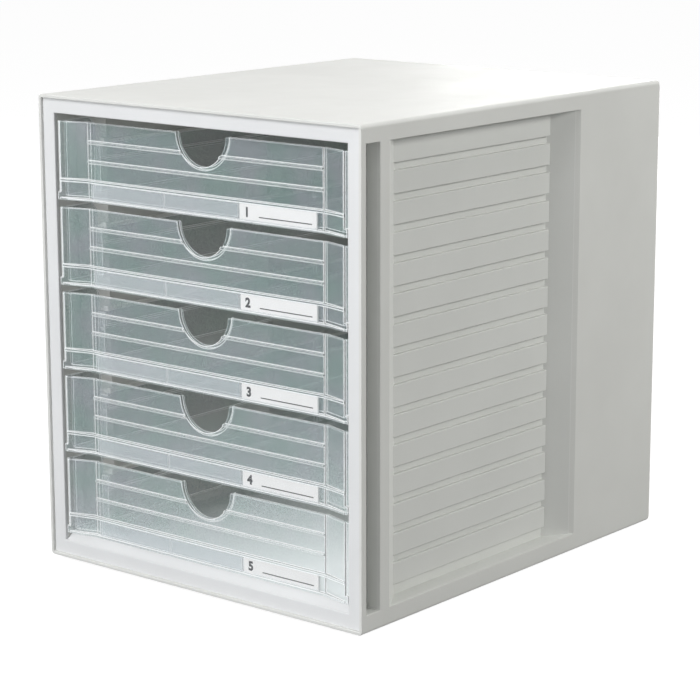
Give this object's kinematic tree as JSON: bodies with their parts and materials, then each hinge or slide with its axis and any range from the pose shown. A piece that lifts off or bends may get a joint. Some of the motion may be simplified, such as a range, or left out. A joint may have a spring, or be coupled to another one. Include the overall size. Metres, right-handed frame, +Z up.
{
  "type": "desktop drawer unit",
  "caption": "Desktop drawer unit: frosted paper drawers with thumb notches and label strips slide out of a light grey housing with slatted grip recesses in its sides.",
  "frame": {"origin": "middle of the unit on the surface that its feet stand on", "axes": "+X to the right seen from the front, the drawer fronts face -Y, +Z up"},
  "size_m": [0.275, 0.33, 0.32],
  "materials": {
    "housing_plastic": "light grey moulded plastic with a fine texture",
    "frame_plastic": "light grey moulded plastic, smooth",
    "guide_plastic": "light grey moulded plastic with a fine texture",
    "foot_rubber": "dark grey rubber",
    "drawer_plastic": "frosted grey-green translucent plastic",
    "clear_plastic": "clear plastic",
    "label_paper": "white card, unprinted"
  },
  "bodies": {
    "housing": {"housing_shell": "housing_plastic", "front_frame": "frame_plastic", "guide_panel_left": "guide_plastic", "guide_panel_right": "guide_plastic", "foot_front_left": "foot_rubber", "foot_front_right": "foot_rubber", "foot_rear_left": "foot_rubber", "foot_rear_right": "foot_rubber"},
    "drawer_1": {"tray_1": "drawer_plastic", "label_holder_1": "clear_plastic", "label_card_1": "label_paper"},
    "drawer_2": {"tray_2": "drawer_plastic", "label_holder_2": "clear_plastic", "label_card_2": "label_paper"},
    "drawer_3": {"tray_3": "drawer_plastic", "label_holder_3": "clear_plastic", "label_card_3": "label_paper"},
    "drawer_4": {"tray_4": "drawer_plastic", "label_holder_4": "clear_plastic", "label_card_4": "label_paper"},
    "drawer_5": {"tray_5": "drawer_plastic", "label_holder_5": "clear_plastic", "label_card_5": "label_paper"}
  },
  "joints": [
    {"name": "drawer_1_slide", "type": "slide", "parent": "housing", "child": "drawer_1", "axis": [0, -1, 0], "range_m": [0, 0.215]},
    {"name": "drawer_2_slide", "type": "slide", "parent": "housing", "child": "drawer_2", "axis": [0, -1, 0], "range_m": [0, 0.215]},
    {"name": "drawer_3_slide", "type": "slide", "parent": "housing", "child": "drawer_3", "axis": [0, -1, 0], "range_m": [0, 0.215]},
    {"name": "drawer_4_slide", "type": "slide", "parent": "housing", "child": "drawer_4", "axis": [0, -1, 0], "range_m": [0, 0.215]},
    {"name": "drawer_5_slide", "type": "slide", "parent": "housing", "child": "drawer_5", "axis": [0, -1, 0], "range_m": [0, 0.215]}
  ]
}
